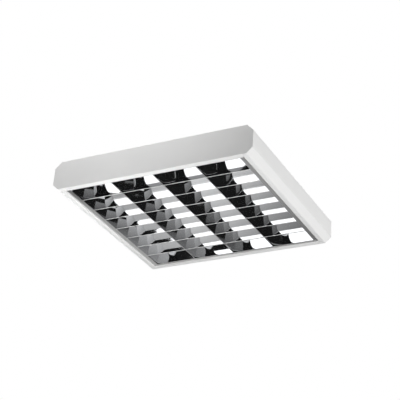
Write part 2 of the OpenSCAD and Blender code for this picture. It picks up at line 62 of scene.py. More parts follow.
# Tabs of the end plates inside the tray
TAB_REACH = 0.010
ROOF_TAB_HW = 0.3099
SIDE_TAB_X = 0.3416
SIDE_TAB_LOW = -0.0769
SIDE_TAB_TOP = -0.0231

# Gap between parts, ease of a hole, overrun of a tool, and how near counts as touching
SEAT_GAP = 0.0002
HOLE_EASE = 0.00005
PAST = 0.001
TOUCH = 0.00001

# Screws into the roof
SCREW_R = 0.0015
END_SCREWS = [(x, y) for x in (-0.1715, 0.1715) for y in (-0.3017, 0.3017)]
COVER_SCREWS = [(x, y) for x in (-0.048, 0.048) for y in (-0.16, 0.16)]
FOOT_SCREWS = [(-0.01025, -0.231), (0.01025, -0.069), (-0.01025, 0.069), (0.01025, 0.231)]

# Lamps
LAMP_XS = (-0.219, -0.073, 0.073, 0.219)
LAMP_Z = -0.0345
ROTOR_R = 0.00875
PIN_SIDE = 0.00635
STARTER_SIDE = 0.031
STARTER_Z = -0.0225
GRIP_Y = -0.2655

# Lampholders and their rails, at the near end
HOLDER_BACK = -0.3069
HOLDER_FACE = -0.2954
HOLDER_R = 0.0135
SOCKET_R = 0.01275
SOCKET_TURN = (33.3, 326.7)
HEAD_TURN = {0: (137.8, 402.2), -1: (158.26, 402.2)}  # without and with a socket
STEM_HW = 0.01
STEM_TOP = -0.003
PIN_SLOT_HW = 0.0014
RAIL_Y = -0.3077
RAIL_LOW = -0.04125
RAIL_TOP = -0.002
RAIL_FLANGE_Y = -0.2949
RAIL_HW = 0.2635
RAIL_BEND_R = 0.0012

# Control gear on the roof
GEAR_TOP = -0.001
COVER_HL = 0.24
BALLAST_HW = 0.0205
BALLAST_Y = (-0.225, -0.075)
FOOT_Y = (-0.237, -0.063)
CAPACITOR_Z = -0.0147
TERMINAL_HW = 0.02

# Louvre
MIRROR = 0.0005
LOUVRE_Z = -0.093
LOUVRE_HW = 0.306
LOUVRE_HL = 0.2885
FLANGE_W = 0.014
END_STRIP_W = 0.005
SIDE_X = LOUVRE_HW - FLANGE_W
CELL_HL = LOUVRE_HL - END_STRIP_W
HEM_H = 0.004
FOLD_R = 2 * MIRROR
BLADE_W = 0.021
BLADE_H = 0.0435
DIVIDER_W = 0.028
DIVIDER_H = 0.0495
END_LEAN = 0.007
DIVIDER_XS = {"divider_1": -0.146, "divider_2": 0.0, "divider_3": 0.146}
ROWS = 8
ROW_PITCH = 2 * CELL_HL / ROWS
CURVE_POWER = 1.4
TONGUE_Z = 0.003
TONGUE_OUT = 0.003
TAB_T = 0.0008
TAB_H = 0.010
TAB_IN = 0.0003
STRIP_LINE = 0.0002
FOLD_TOP_Z = LOUVRE_Z + 1.7 * FOLD_R
TOOL_REACH = 0.04
TOOL_HL = 0.32
PIN_X = -0.298
PIN_Z = -0.089
PIN_R = 0.0015
CURVE_STEPS = 28
FOLD_STEPS = 6
SMOOTH_ANGLE = math.radians(30)


# ---- modelling ----


def enter(mode):
    """Enters edit or object mode."""
    bpy.ops.object.mode_set(mode=mode)


def start(name, place):
    """A new piece that begins as one point."""
    bpy.ops.object.select_all(action="DESELECT")
    bpy.ops.mesh.primitive_plane_add(size=0.001, location=place)
    piece = bpy.context.object
    piece.name = piece.data.name = name
    enter("EDIT")
    bpy.ops.mesh.select_mode(type="VERT")
    bpy.ops.mesh.select_all(action="SELECT")
    bpy.ops.mesh.merge(type="CENTER")
    return piece


def draw(points):
    """Draws on from the last point through the others."""
    for a, b in zip(points, points[1:]):
        step = Vector(b) - Vector(a)
        bpy.ops.mesh.extrude_region_move(TRANSFORM_OT_translate={"value": step})


def settle(piece):
    """Leaves edit mode with the normals outwards and the place in the mesh."""
    bpy.ops.mesh.select_all(action="SELECT")
    bpy.ops.mesh.remove_doubles(threshold=1e-6)
    bpy.ops.mesh.normals_make_consistent(inside=False)
    enter("OBJECT")
    bpy.ops.object.transform_apply()
    return piece


def pulled(name, points, along, filled):
    """A line of points pulled along a length."""
    piece = start(name, points[0])
    draw(points)
    bpy.ops.mesh.select_all(action="SELECT")
    if filled:
        bpy.ops.mesh.edge_face_add()
    bpy.ops.mesh.extrude_region_move(TRANSFORM_OT_translate={"value": along})
    return settle(piece)


def pulled_sheet(name, points, along):
    """One side of a strip of sheet, from an open line."""
    return pulled(name, points, along, False)


def pulled_bar(name, points, along):
    """A solid bar, from a closed outline."""
    return pulled(name, points, along, True)


def only(piece):
    """Selects one piece and makes it the active one."""
    bpy.ops.object.select_all(action="DESELECT")
    piece.select_set(True)
    bpy.context.view_layer.objects.active = piece
    return piece


def modified(piece, kind, **settings):
    """Adds a modifier with its settings and applies it."""
    only(piece)
    bpy.ops.object.modifier_add(type=kind)
    made = piece.modifiers[-1]
    for key, value in settings.items():
        setattr(made, key, value)
    bpy.ops.object.modifier_apply(modifier=made.name)
    return piece


def thickened(piece, thickness):
    """Gives a sheet its thickness on the side its normals point away from."""
    return modified(piece, "SOLIDIFY", thickness=thickness, offset=-1, use_even_offset=True)


def cut_by(piece, tools):
    """Takes a list of solid tools out of a piece and clears them away."""
    for tool in tools:
        modified(piece, "BOOLEAN", operation="DIFFERENCE", solver="EXACT", object=tool)
    for tool in tools:
        bpy.data.objects.remove(tool)
    return piece


def kept_within(piece, tool):
    """Keeps only what lies inside a solid tool and clears the tool away."""
    modified(piece, "BOOLEAN", operation="INTERSECT", solver="EXACT", object=tool)
    bpy.data.objects.remove(tool)
    return piece


def joined(pieces):
    """Makes one piece of several."""
    only(pieces[0])
    for piece in pieces:
        piece.select_set(True)
    if len(pieces) > 1:
        bpy.ops.object.join()
    return pieces[0]


def smooth(piece):
    """Smooth shading between the sharp edges."""
    only(piece)
    bpy.ops.object.shade_smooth_by_angle(angle=SMOOTH_ANGLE)
    return piece


def copied(piece, name, move=(0, 0, 0), flip=None):
    """A copy with a mesh of its own, moved, or turned over in the axis flip."""
    only(piece)
    bpy.ops.object.duplicate()
    twin = bpy.context.object
    twin.name = twin.data.name = name
    if flip is not None:
        enter("EDIT")
        bpy.ops.mesh.select_all(action="SELECT")
        bpy.ops.transform.mirror(constraint_axis=flip, orient_type="GLOBAL",
                                 center_override=(0, 0, 0))
        bpy.ops.mesh.normals_make_consistent(inside=False)
        enter("OBJECT")
    bpy.ops.transform.translate(value=move)
    bpy.ops.object.transform_apply()
    return twin


def dressed(piece, body, material, node):
    """Finishes a piece: its material, its body and the node it stands for."""
    piece.data.materials.clear()
    piece.data.materials.append(material)
    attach(piece, body)
    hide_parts(node)


def edged(piece, material, test):
    """Gives the faces whose middle passes the test a second material."""
    piece.data.materials.append(material)
    for face in piece.data.polygons:
        if test(face.center):
            face.material_index = 1


# ---- outlines ----


def rounded(points, radius, closed=False):
    """A line of (a, b) points with its inner corners turned in arcs."""
    count = len(points)
    done = [] if closed else [points[0]]
    for i in range(0 if closed else 1, count if closed else count - 1):
        here = Vector(points[i])
        back = (Vector(points[i - 1]) - here).normalized()
        on = (Vector(points[(i + 1) % count]) - here).normalized()
        half = back.angle(on) / 2
        middle = here + (back + on).normalized() * radius / math.sin(half)
        first = here + back * radius / math.tan(half) - middle
        last = here + on * radius / math.tan(half) - middle
        begin = math.atan2(first.y, first.x)
        turn = math.atan2(first.x * last.y - first.y * last.x, first.dot(last))
        turns = [begin + turn * k / FOLD_STEPS for k in range(FOLD_STEPS + 1)]
        done += [(middle.x + radius * math.cos(a), middle.y + radius * math.sin(a)) for a in turns]
    return done if closed else done + [points[-1]]


def both(points):
    """A right hand line followed by its mirror image on the left."""
    return points + [(-a, b) for a, b in reversed(points)]


def set_x(points, x):
    """Outline points (y, z) set across X."""
    return [(x, a, b) for a, b in points]


def set_y(points, y):
    """Outline points (x, z) set across Y."""
    return [(a, y, b) for a, b in points]


def arc(radius, x, z, first, last, steps=36):
    """Part of a circle as (x, z), from one angle in degrees to another."""
    turns = [math.radians(first + (last - first) * i / steps) for i in range(steps + 1)]
    return [(x + radius * math.cos(a), z + radius * math.sin(a)) for a in turns]


def turned(name, profile, place, upright=False, steps=48):
    """An outline (radius, along) spun right round an axis along Y, or along Z when upright."""
    x, y, z = place
    points = [(x + r, y, z + a) if upright else (x + r, y + a, z) for r, a in profile]
    piece = start(name, points[0])
    draw(points)
    bpy.ops.mesh.select_all(action="SELECT")
    axis = (0, 0, 1) if upright else (0, 1, 0)
    bpy.ops.mesh.spin(steps=steps, angle=2 * math.pi, center=place, axis=axis)
    return settle(piece)


def block(name, low, high):
    """A bar between two corners, with its outline in X and Z."""
    outline = [(low[0], low[2]), (high[0], low[2]), (high[0], high[2]), (low[0], high[2])]
    return pulled_bar(name, set_y(outline, low[1]), (0, high[1] - low[1], 0))


def plugs(places, radius, low, high, along_z=True):
    """Round tools at (x, y) places from z low to high, or at (x, z) places from y low to high."""
    made = []
    turn = (0, 0, 0) if along_z else (math.pi / 2, 0, 0)
    for a, b in places:
        bpy.ops.object.select_all(action="DESELECT")
        middle = (a, b, (low + high) / 2) if along_z else (a, (low + high) / 2, b)
        bpy.ops.mesh.primitive_cylinder_add(vertices=32, radius=radius, depth=high - low,
                                            location=middle, rotation=turn)
        bpy.ops.object.transform_apply()
        made.append(bpy.context.object)
    return joined(made)


def eased(piece, width, test=None, angle=35, segments=2):
    """Rounds the sharp edges of a piece, or only those whose ends both pass a test."""
    only(piece)
    enter("EDIT")
    bpy.ops.mesh.select_mode(type="EDGE")
    bpy.ops.mesh.select_all(action="DESELECT")
    bpy.ops.mesh.edges_select_sharp(sharpness=math.radians(angle))
    if test is not None:
        enter("OBJECT")
        ends = [test(v.co) for v in piece.data.vertices]
        for edge in piece.data.edges:
            edge.select = edge.select and ends[edge.vertices[0]] and ends[edge.vertices[1]]
        enter("EDIT")
    bpy.ops.mesh.bevel(offset=width, segments=segments, affect="EDGES", clamp_overlap=True)
    enter("OBJECT")
    return smooth(piece)


def facing(piece, direction):
    """Turns an open sheet so that its outermost face in a direction looks that way."""
    way = Vector(direction)
    outermost = max(piece.data.polygons, key=lambda face: face.center.dot(way))
    if outermost.normal.dot(way) < 0:
        only(piece)
        enter("EDIT")
        bpy.ops.mesh.select_all(action="SELECT")
        bpy.ops.mesh.flip_normals()
        enter("OBJECT")
    return piece


def turned_over(piece, name):
    """The same piece for the far end."""
    return copied(piece, name, flip=(False, True, False))


def both_ends(near, far_name, body, material, node):
    """Dresses a piece of the near end and its mirror image at the far end."""
    far = turned_over(near, far_name)
    dressed(near, body, material, node + "_near")
    dressed(far, body, material, node + "_far")
    return near, far


# ---- materials ----


def plain_surface(name, colour, roughness, metallic=0.0, **sockets):
    """A material with its colour, roughness and other sockets set."""
    material = bpy.data.materials.new(name)
    material.use_nodes = True
    shader = material.node_tree.nodes["Principled BSDF"]
    shader.inputs["Base Color"].default_value = (*colour, 1)
    shader.inputs["Roughness"].default_value = roughness
    shader.inputs["Metallic"].default_value = metallic
    for key, value in sockets.items():
        shader.inputs[key.replace("_", " ")].default_value = value
    return material


# Part of a noise pattern's range that a colour or a roughness follows
PATTERN_LOW = 0.3
PATTERN_HIGH = 0.7


def pattern(material, scale, detail=4, stretch=(1, 1, 1)):
    """Noise in object coordinates, drawn out along some axes."""
    tree = material.node_tree
    place = tree.nodes.new("ShaderNodeTexCoord")
    mapping = tree.nodes.new("ShaderNodeMapping")
    noise = tree.nodes.new("ShaderNodeTexNoise")
    mapping.inputs["Scale"].default_value = stretch
    noise.inputs["Scale"].default_value = scale
    noise.inputs["Detail"].default_value = detail
    tree.links.new(place.outputs["Object"], mapping.inputs["Vector"])
    tree.links.new(mapping.outputs["Vector"], noise.inputs["Vector"])
    return noise.outputs["Fac"]


def tinted(material, factor, dark, light):
    """Lets a pattern move the colour between two tones."""
    tree = material.node_tree
    ramp = tree.nodes.new("ShaderNodeValToRGB")
    first, last = ramp.color_ramp.elements
    first.position, last.position = PATTERN_LOW, PATTERN_HIGH
    first.color, last.color = (*dark, 1), (*light, 1)
    shader = tree.nodes["Principled BSDF"]
    tree.links.new(factor, ramp.inputs["Fac"])
    tree.links.new(ramp.outputs["Color"], shader.inputs["Base Color"])


def stretched(tree, value, low, high, to_low=0, to_high=1):
    """A value's range from low to high, stretched to another range."""
    span = tree.nodes.new("ShaderNodeMapRange")
    span.inputs["From Min"].default_value = low
    span.inputs["From Max"].default_value = high
    span.inputs["To Min"].default_value = to_low
    span.inputs["To Max"].default_value = to_high
    tree.links.new(value, span.inputs["Value"])
    return span.outputs["Result"]


def worn(material, factor, low, high):
    """Lets a pattern move the roughness between two values."""
    tree = material.node_tree
    moved = stretched(tree, factor, PATTERN_LOW, PATTERN_HIGH, low, high)
    tree.links.new(moved, tree.nodes["Principled BSDF"].inputs["Roughness"])


def embossed(material, factor, strength, depth):
    """Lets a pattern raise the surface a little."""
    tree = material.node_tree
    bump = tree.nodes.new("ShaderNodeBump")
    bump.inputs["Strength"].default_value = strength
    bump.inputs["Distance"].default_value = depth
    tree.links.new(factor, bump.inputs["Height"])
    tree.links.new(bump.outputs["Normal"], tree.nodes["Principled BSDF"].inputs["Normal"])


def powder_coat():
    """White powder coat with its fine orange peel."""
    made = plain_surface("white_powder_coat", (0.84, 0.84, 0.83), 0.38)
    tinted(made, pattern(made, 9, 2), (0.83, 0.83, 0.825), (0.855, 0.855, 0.848))
    worn(made, pattern(made, 60, 3), 0.34, 0.44)
    embossed(made, pattern(made, 700, 3), 0.12, 0.0001)
    return made


def specular_aluminium(name, along):
    """Bright anodised mirror sheet with faint rolling lines along one axis."""
    stretch = [400, 400, 400]
    stretch[along] = 4
    made = plain_surface(name, (0.9, 0.905, 0.91), 0.03, metallic=1.0)
    lines = pattern(made, 6, 3, stretch)
    tinted(made, lines, (0.89, 0.895, 0.905), (0.915, 0.92, 0.925))
    worn(made, lines, 0.02, 0.04)
    embossed(made, lines, 0.01, 0.00002)
    return made


def satin_aluminium(name, along, tone, metallic, roughness):
    """Rolled aluminium with a dull skin, as on the strips round the mirrors and the dividers' bent
    edges; made near white and barely metallic, it paints a highlight on the cross blades' bent
    edges.
    """
    stretch = [300, 300, 300]
    stretch[along] = 5
    made = plain_surface(name, (tone, tone, tone), roughness, metallic=metallic)
    lines = pattern(made, 5, 3, stretch)
    tinted(made, lines, (tone - 0.02,) * 3, (tone + 0.02,) * 3)
    worn(made, lines, roughness - 0.04, roughness + 0.04)
    return made


def lamp_phosphor():
    """Matt white phosphor seen through a glossy glass tube."""
    made = plain_surface("white_phosphor_glass", (0.9, 0.9, 0.87), 0.5,
                         Coat_Weight=1.0, Coat_Roughness=0.04)
    tinted(made, pattern(made, 300, 4), (0.89, 0.89, 0.86), (0.92, 0.92, 0.9))
    worn(made, pattern(made, 80, 3), 0.45, 0.6)
    return made


def spun_cap():
    """Satin aluminium of the lamp caps, drawn round the lamp."""
    made = plain_surface("satin_cap_aluminium", (0.72, 0.73, 0.74), 0.32, metallic=1.0)
    lines = pattern(made, 8, 4, (30, 500, 30))
    tinted(made, lines, (0.66, 0.67, 0.68), (0.77, 0.78, 0.79))
    worn(made, lines, 0.24, 0.4)
    return made


def moulded_plastic(name, colour, low, high):
    """Moulded plastic with a fine spark eroded grain."""
    made = plain_surface(name, colour, (low + high) / 2)
    tinted(made, pattern(made, 25, 3), [0.96 * c for c in colour], colour)
    worn(made, pattern(made, 120, 3), low, high)
    embossed(made, pattern(made, 1800, 2), 0.1, 0.00005)
    return made


def zinc_plate():
    """Bright zinc with its faint yellow and blue clouding."""
    made = plain_surface("zinc_plated_steel", (0.66, 0.67, 0.68), 0.35, metallic=1.0)
    tinted(made, pattern(made, 160, 5), (0.6, 0.6, 0.585), (0.7, 0.715, 0.74))
    worn(made, pattern(made, 500, 3), 0.26, 0.45)
    return made


def ballast_case():
    """Drawn steel case with long rolling lines."""
    made = plain_surface("ballast_case_steel", (0.55, 0.56, 0.57), 0.38, metallic=1.0)
    lines = pattern(made, 10, 4, (60, 2, 60))
    tinted(made, lines, (0.48, 0.485, 0.49), (0.62, 0.625, 0.63))
    worn(made, lines, 0.28, 0.46)
    return made


def bush_rubber():
    """Matt black rubber with a dusty bloom."""
    made = plain_surface("black_bush_rubber", (0.03, 0.03, 0.03), 0.75)
    tinted(made, pattern(made, 400, 4), (0.025, 0.025, 0.025), (0.05, 0.05, 0.052))
    embossed(made, pattern(made, 1500, 2), 0.2, 0.0001)
    return made


COAT = powder_coat()
MIRROR_X = specular_aluminium("specular_aluminium_cross", 0)
MIRROR_Y = specular_aluminium("specular_aluminium_long", 1)
STRIP_X = satin_aluminium("satin_aluminium_cross", 0, 0.63, 0.88, 0.32)
STRIP_Y = satin_aluminium("satin_aluminium_long", 1, 0.63, 0.88, 0.32)
# Near white and barely metallic: a painted highlight along the cross blades' bottom folds, standing
# in for the glint a mirror fold catches.
EDGE = satin_aluminium("blade_fold_painted_highlight", 0, 0.93, 0.1, 0.4)
PHOSPHOR = lamp_phosphor()
CAP = spun_cap()
HOLDER = moulded_plastic("white_moulded_plastic", (0.87, 0.87, 0.85), 0.35, 0.5)
STARTER = moulded_plastic("glossy_starter_plastic", (0.88, 0.88, 0.86), 0.18, 0.3)
CAN = moulded_plastic("white_capacitor_plastic", (0.76, 0.76, 0.74), 0.4, 0.55)
ZINC = zinc_plate()
CASE = ballast_case()
RUBBER = bush_rubber()


def dress_nodes():
    """Gives every node that keeps its own shape its finish."""
    finishes = {
        "housing_tray": COAT, "end_plate": COAT, "holder_rail": COAT, "gear_cover": COAT,
        "end_plate_screws": ZINC, "gear_cover_screws": ZINC, "ballast_screws": ZINC,
        "hinge": ZINC, "catch": ZINC, "capacitor_clip": ZINC,
        "lampholder": HOLDER, "rotors": HOLDER, "terminal_block": HOLDER,
        "lamp_tube": PHOSPHOR, "lamp_caps": CAP, "starter": STARTER,
        "ballast": CASE, "capacitor": CAN, "cable_bush": RUBBER,
        "side_reflector": MIRROR_Y, "divider": MIRROR_Y,
        "end_reflector": MIRROR_X, "cross_blade": MIRROR_X,
    }
    for name, node in nodes.items():
        fitting = [key for key in finishes if name.startswith(key)]
        node.data.materials.clear()
        node.data.materials.append(finishes[max(fitting, key=len)])


# ---- louvre ----


def vane_half(width, height, gap=0.0):
    """Half outline of a folded vane from the tip of its bottom fold to its top, as (out, up)."""
    turn = [math.pi / 2 * i / FOLD_STEPS for i in range(FOLD_STEPS + 1)]
    fold = [((FOLD_R + gap) * math.sin(a), FOLD_R - (FOLD_R + gap) * math.cos(a)) for a in turn]
    ups = [FOLD_R + (height - FOLD_R) * i / CURVE_STEPS for i in range(1, CURVE_STEPS + 1)]
    return fold + [(flank(z, width, height) + gap, z) for z in ups]


def flank(z, width, height):
    """How far a vane's face stands from its middle at height z."""
    return FOLD_R + (width / 2 - FOLD_R) * (z / height) ** CURVE_POWER


def whole_vane(width, height):
    """Outline of a folded vane across its bottom fold, as (out, up)."""
    half = vane_half(width, height)
    return [(-o, u) for o, u in reversed(half[1:])] + half


def reflector_face(out, base=0.0):
    """Mirror face of the right hand side reflector from a base up, as (x, up)."""
    ups = [base + (DIVIDER_H - base) * i / CURVE_STEPS for i in range(CURVE_STEPS + 1)]
    lean = DIVIDER_W / 2 - FOLD_R
    return [(SIDE_X + out - lean * (z / DIVIDER_H) ** CURVE_POWER, z) for z in ups]


def end_face():
    """Mirror face of the near end reflector from the bottom up, as (along, up)."""
    ups = [BLADE_H * i / CURVE_STEPS for i in range(CURVE_STEPS + 1)]
    return [(-CELL_HL + (END_LEAN - FOLD_R) * (z / BLADE_H) ** CURVE_POWER, z) for z in ups]


def row_y(row):
    """Place along the lamps of the line between two rows of cells."""
    return row * ROW_PITCH - CELL_HL


def in_x(points, x=0.0, y=0.0):
    """Outline points (out, up) set across X at the louvre's height."""
    return [(x + o, y, LOUVRE_Z + u) for o, u in points]


def in_y(points, x=0.0, y=0.0):
    """Outline points (out, up) set along Y at the louvre's height."""
    return [(x, y + o, LOUVRE_Z + u) for o, u in points]


def blade_slots(x, floor):
    """Solid vanes that cut the slots for the cross blades, from a height up."""
    half = [p for p in vane_half(BLADE_W, BLADE_H, SEAT_GAP) if p[1] > floor]
    low = floor if floor > 0 else -PAST
    half = [(half[0][0], low)] + half + [(half[-1][0], BLADE_H + SEAT_GAP)]
    outline = [(-o, u) for o, u in reversed(half)] + half
    tools = []
    for row in range(1, ROWS):
        points = in_y(outline, x - TOOL_REACH, row_y(row))
        tools.append(pulled_bar("slot_tool", points, (2 * TOOL_REACH, 0, 0)))
    return tools


def ends_tool():
    """Solid between the two end reflectors."""
    face = [(y + SEAT_GAP, z) for y, z in end_face()]
    face[0] = (face[0][0], -PAST)
    face.append((face[-1][0], DIVIDER_H + PAST))
    return pulled_bar("ends_tool", in_y(both(face), -TOOL_REACH), (2 * TOOL_REACH, 0, 0))


def sides_tool(tongues):
    """Solid between the two side reflectors, with room for a tongue in each where asked."""
    face = reflector_face(-SEAT_GAP)
    face = [(face[0][0], -PAST)] + face
    if tongues:
        low = [p for p in face if p[1] < TONGUE_Z]
        face = low + [(low[-1][0], TONGUE_Z)] + reflector_face(TONGUE_OUT, TONGUE_Z)
    return pulled_bar("sides_tool", in_x(both(face), 0, -TOOL_HL), (0, 2 * TOOL_HL, 0))


def in_fold(place):
    """Whether a face lies in the bottom fold of a vane."""
    return place.z < FOLD_TOP_Z


def make_dividers():
    """Long dividers: folded parabolic vanes slotted for the cross blades."""
    outline = in_x(whole_vane(DIVIDER_W, DIVIDER_H), 0, -LOUVRE_HL)
    first = pulled_sheet("divider_vane_2", outline, (0, 2 * LOUVRE_HL, 0))
    facing(first, (0, 0, -1))
    thickened(first, MIRROR)
    kept_within(first, ends_tool())
    cut_by(first, blade_slots(0, 0.0))
    smooth(first)
    for name, x in DIVIDER_XS.items():
        twin_name = name.replace("divider", "divider_vane")
        vane = first if x == 0 else copied(first, twin_name, (x, 0, 0))
        dressed(vane, "louvre", MIRROR_Y, name)
        edged(vane, STRIP_Y, in_fold)


def make_cross_blades():
    """Cross blades: folded parabolic vanes right across, with a tongue in each side reflector."""
    outline = in_y(whole_vane(BLADE_W, BLADE_H), -LOUVRE_HW, row_y(1))
    first = pulled_sheet("blade_vane_1", outline, (2 * LOUVRE_HW, 0, 0))
    facing(first, (0, 0, -1))
    thickened(first, MIRROR)
    kept_within(first, sides_tool(True))
    smooth(first)
    for row in range(1, ROWS):
        along = (row - 1) * ROW_PITCH
        vane = first if row == 1 else copied(first, f"blade_vane_{row}", (0, along, 0))
        dressed(vane, "louvre", MIRROR_X, f"cross_blade_{row}")
        # The bottom folds take the painted highlight finish.
        edged(vane, EDGE, in_fold)


def make_side_reflectors():
    """Side reflectors: half a vane, a flat strip, a hem, and an upright tab at each end."""
    line = [(LOUVRE_HW, HEM_H), (LOUVRE_HW, 0.0)] + reflector_face(0)
    whole = (0, 2 * LOUVRE_HL, 0)
    right = pulled_sheet("side_reflector_sheet_right", in_x(line, 0, -LOUVRE_HL), whole)
    facing(right, (0, 0, -1))
    thickened(right, MIRROR)
    inner, outer = SIDE_X + TAB_IN, LOUVRE_HW - TAB_IN
    tab = [(inner, TAB_IN), (outer, TAB_IN), (outer, HEM_H), (LOUVRE_HW - MIRROR, TAB_H),
           (inner, TAB_H)]
    tabs = [pulled_bar("tab", in_x(tab, 0, y), (0, TAB_T, 0))
            for y in (-LOUVRE_HL, LOUVRE_HL - TAB_T)]
    cut_by(right, blade_slots(SIDE_X, TONGUE_Z - SEAT_GAP))
    joined([right] + tabs)
    cut_by(right, [plugs([(-PIN_X, PIN_Z)], PIN_R, -TOOL_HL, TOOL_HL, along_z=False)])
    smooth(right)
    left = copied(right, "side_reflector_sheet_left", flip=(True, False, False))
    for sheet, side in ((right, "right"), (left, "left")):
        dressed(sheet, "louvre", MIRROR_Y, "side_reflector_" + side)
        edged(sheet, STRIP_Y, lambda p: abs(p.x) > SIDE_X + STRIP_LINE)


def make_end_reflectors():
    """End reflectors: half a cross blade that closes the end cells, with a flat strip below."""
    face = [(-LOUVRE_HL, 0.0)] + end_face()
    whole = (2 * LOUVRE_HW, 0, 0)
    near = pulled_sheet("end_reflector_sheet_near", in_y(face, -LOUVRE_HW), whole)
    facing(near, (0, 0, -1))
    thickened(near, MIRROR)
    kept_within(near, sides_tool(False))
    smooth(near)
    for sheet in both_ends(near, "end_reflector_sheet_far", "louvre", MIRROR_X,
                           "end_reflector"):
        edged(sheet, STRIP_X, lambda p: abs(p.y) > CELL_HL + STRIP_LINE)


# ---- body ----


def side_line():
    """Outer corners of the right half of the body, from the light opening up to the roof."""
    hw = BODY_W / 2
    return [(SLOPE_X, -BODY_H), (hw, LOW_SLOPE_H - BODY_H), (hw, -TOP_SLOPE_H), (ROOF_X, 0)]


def roof_holes(places):
    """Tools for the screw holes."""
    return plugs(places, SCREW_R + HOLE_EASE, -0.02, 0.002)


def make_tray():
    """Body folded from one sheet, with slots for the ceiling screws and holes for the rest."""
    outline = [(LIP_X, LIP_EDGE_H - BODY_H), (LIP_X, -BODY_H)] + side_line()
    line = set_y(rounded(both(outline), BEND_R), -INNER_L / 2)
    tray = facing(pulled_sheet("folded_tray", line, (0, INNER_L, 0)), (0, 0, -1))
    thickened(tray, SHEET)
    turns = [math.pi * (i / 12 - 0.5) for i in range(13)]
    low, high = -0.004, 0.004
    slots = []
    for x, y in CEILING_SLOTS:
        outline = [(x + s * (SLOT_END + SLOT_R * math.cos(a)), y + s * SLOT_R * math.sin(a), low)
                   for s in (1, -1) for a in turns]
        slots.append(pulled_bar("slot_tool", outline, (0, 0, high - low)))
    cut_by(tray, [joined(slots), plugs([(0, BUSH_Y)], BUSH_R + HOLE_EASE, low, high),
                  roof_holes(END_SCREWS + COVER_SCREWS + FOOT_SCREWS)])
    dressed(smooth(tray), "housing", COAT, "housing_tray")


def make_end_plates():
    """End plates: a pressed plate with rounded rim, a folded lip and tabs inside the tray."""
    outline = rounded(both(side_line()), BEND_R, closed=True)
    plate = pulled_bar("end_plate_sheet_near", set_y(outline, -BODY_L / 2), (0, SHEET, 0))
    eased(plate, 0.0006, lambda p: p.y < TOUCH - BODY_L / 2, segments=3)
    line = [(-INNER_L / 2 - SHEET / 2, -BODY_H), (-LIP_Y, -BODY_H), (-LIP_Y, LIP_EDGE_H - BODY_H)]
    hw = LIP_X - SEAT_GAP
    lip = facing(pulled_sheet("lip", set_x(rounded(line, BEND_R), -hw), (2 * hw, 0, 0)), (0, 0, -1))
    thickened(lip, SHEET)
    top = SHEET + SEAT_GAP
    root_y, tab_y = -BODY_L / 2 + SHEET / 2, TAB_REACH - INNER_L / 2
    tab = block("tab", (-ROOF_TAB_HW, root_y, -top - SHEET), (ROOF_TAB_HW, tab_y, -top))
    cut_by(tab, [roof_holes(END_SCREWS)])
    sides = [block("tab", (s * SIDE_TAB_X - SHEET / 2, root_y, SIDE_TAB_LOW),
                   (s * SIDE_TAB_X + SHEET / 2, tab_y, SIDE_TAB_TOP)) for s in (-1, 1)]
    for piece in [tab] + sides:
        eased(piece, 0.0002, lambda p: p.y > tab_y - TOUCH)
    near = smooth(joined([plate, lip, tab] + sides))
    both_ends(near, "end_plate_sheet_far", "housing", COAT, "end_plate")


def make_holder_rails():
    """Angles across each end that carry the lampholders."""
    line = rounded([(RAIL_Y, RAIL_LOW), (RAIL_Y, RAIL_TOP), (RAIL_FLANGE_Y, RAIL_TOP)], RAIL_BEND_R)
    near = pulled_sheet("holder_rail_angle_near", set_x(line, -RAIL_HW), (2 * RAIL_HW, 0, 0))
    thickened(facing(near, (0, 0, 1)), SHEET)
    cut_by(near, [roof_holes(END_SCREWS)])
    both_ends(smooth(near), "holder_rail_angle_far", "housing", COAT, "holder_rail")


def screws(name, places, grip, node):
    """Pan head screws with a cross recess, up through plates of a total grip into the roof."""
    head = -SHEET - grip
    profile = [(0, head - 0.0018), (0.0014, head - 0.00175), (0.0023, head - 0.0014),
               (0.0028, head - 0.0008), (0.003, head - 0.0002), (0.00295, head), (SCREW_R, head),
               (SCREW_R, -SEAT_GAP - 0.0004), (0.0011, -SEAT_GAP), (0, -SEAT_GAP)]
    x, y = places[0]
    first = turned(name, profile, (x, y, 0), upright=True, steps=32)
    low, high = head - 0.003, head - 0.0007
    arm, thin = 0.0016, 0.0003
    cross = [block("recess", (x - a, y - b, low), (x + a, y + b, high))
             for a, b in ((arm, thin), (thin, arm))]
    cut_by(first, cross)
    smooth(first)
    rest = [copied(first, name, (px - x, py - y, 0)) for px, py in places[1:]]
    dressed(joined([first] + rest), "housing", ZINC, node)


def make_screws():
    """Screws of the end plates, the gear cover and the ballasts."""
    screws("end_plate_pan_screws", END_SCREWS, 0.002, "end_plate_screws")
    screws("gear_cover_pan_screws", COVER_SCREWS, 0.001, "gear_cover_screws")
    screws("ballast_pan_screws", FOOT_SCREWS, 0.0014, "ballast_screws")


# ---- lamps and their holders ----


